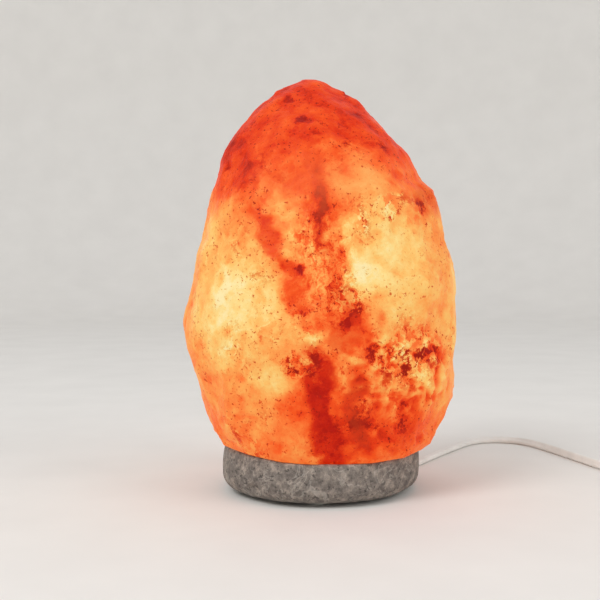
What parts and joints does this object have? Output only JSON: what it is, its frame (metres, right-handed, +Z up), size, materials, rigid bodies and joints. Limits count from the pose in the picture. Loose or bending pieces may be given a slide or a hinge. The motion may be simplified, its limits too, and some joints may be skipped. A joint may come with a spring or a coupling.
{
  "type": "salt crystal lamp",
  "caption": "Rough hewn salt crystal lamp on a round stone base, lit from inside by a clip-in lampholder, with a flat cord, inline switch and plug.",
  "frame": {"origin": "on the table under the middle of the crystal's and base's bounding box, cord left out", "axes": "+Z up, +X to the viewer's right in the picture, +Y away from the viewer"},
  "size_m": [0.3771, 0.2362, 0.2282],
  "materials": {
    "salt": "rough hewn salt, lit from inside",
    "stone": "mottled grey stone, smooth",
    "foot_rubber": "soft, satin",
    "steel": "satin",
    "spring_steel": "satin",
    "anchor": "matte",
    "brass_part": "satin",
    "holder_plastic": "satin",
    "ceramic": "glazed ceramic",
    "lead_live": "satin",
    "lead_neutral": "satin",
    "cord_white": "satin",
    "tie": "matte",
    "switch_plastic": "satin",
    "plug_plastic": "satin",
    "pin_metal": "polished",
    "sleeve": "matte",
    "bulb_metal": "satin",
    "solder": "satin",
    "bulb_insulator": "glazed",
    "bulb_glass": "clear",
    "support_wire": "satin",
    "filament": "glowing"
  },
  "bodies": {
    "fitting": {"clip_bracket": "steel", "clip_pins": "steel", "bracket_nut": "brass_part", "holder_cap": "holder_plastic", "holder_body": "holder_plastic", "holder_insert": "ceramic", "screw_shell": "brass_part", "centre_contact": "brass_part", "terminal_blocks": "brass_part", "terminal_screws": "steel", "cord_clamp": "holder_plastic", "clamp_screws": "steel", "lead_live": "lead_live", "lead_neutral": "lead_neutral", "cord_inner": "cord_white", "cord_lead": "cord_white", "cord_tail": "cord_white", "cord_coil": "cord_white", "cord_end": "cord_white", "coil_ties": "tie", "switch_base": "switch_plastic", "switch_cover": "switch_plastic", "rocker_pin": "steel", "switch_leads": "lead_live", "switch_contacts": "brass_part", "switch_screws": "steel", "plug_boot": "plug_plastic", "plug_body": "plug_plastic", "plug_pins": "pin_metal", "plug_sleeves": "sleeve"},
    "lamp": {"salt_crystal": "salt", "stone_base": "stone", "base_feet": "foot_rubber", "base_screws": "steel", "screw_anchors": "anchor"},
    "bulb": {"bulb_cap": "bulb_metal", "bulb_tip_contact": "solder", "bulb_insulator": "bulb_insulator", "bulb_glass": "bulb_glass", "bulb_stem": "bulb_glass", "bulb_support_wires": "support_wire", "bulb_filament": "filament"},
    "clip_left": {"clip_left": "spring_steel"},
    "clip_right": {"clip_right": "spring_steel"},
    "rocker": {"switch_rocker": "switch_plastic"}
  },
  "joints": [
    {"name": "lamp_lift", "type": "slide", "parent": "fitting", "child": "lamp", "axis": [0, 0, 1], "range_m": [0, 0.14]},
    {"name": "bulb_unscrew", "type": "slide", "parent": "fitting", "child": "bulb", "axis": [0, 0, 1], "range_m": [0, 0.0141]},
    {"name": "clip_left_flex", "type": "hinge", "parent": "fitting", "child": "clip_left", "pos_m": [-0.0166, 0, 0.0256], "axis": [0, 1, 0], "range_deg": [0, 5], "stiffness_Nm_per_rad": 3},
    {"name": "clip_right_flex", "type": "hinge", "parent": "fitting", "child": "clip_right", "pos_m": [0.0166, 0, 0.0256], "axis": [0, -1, 0], "range_deg": [0, 5], "stiffness_Nm_per_rad": 3},
    {"name": "rocker_tip", "type": "hinge", "parent": "fitting", "child": "rocker", "pos_m": [0.20407, -0.019, 0.013], "axis": [-0.8868, -0.4622, 0], "range_deg": [0, 16]}
  ]
}
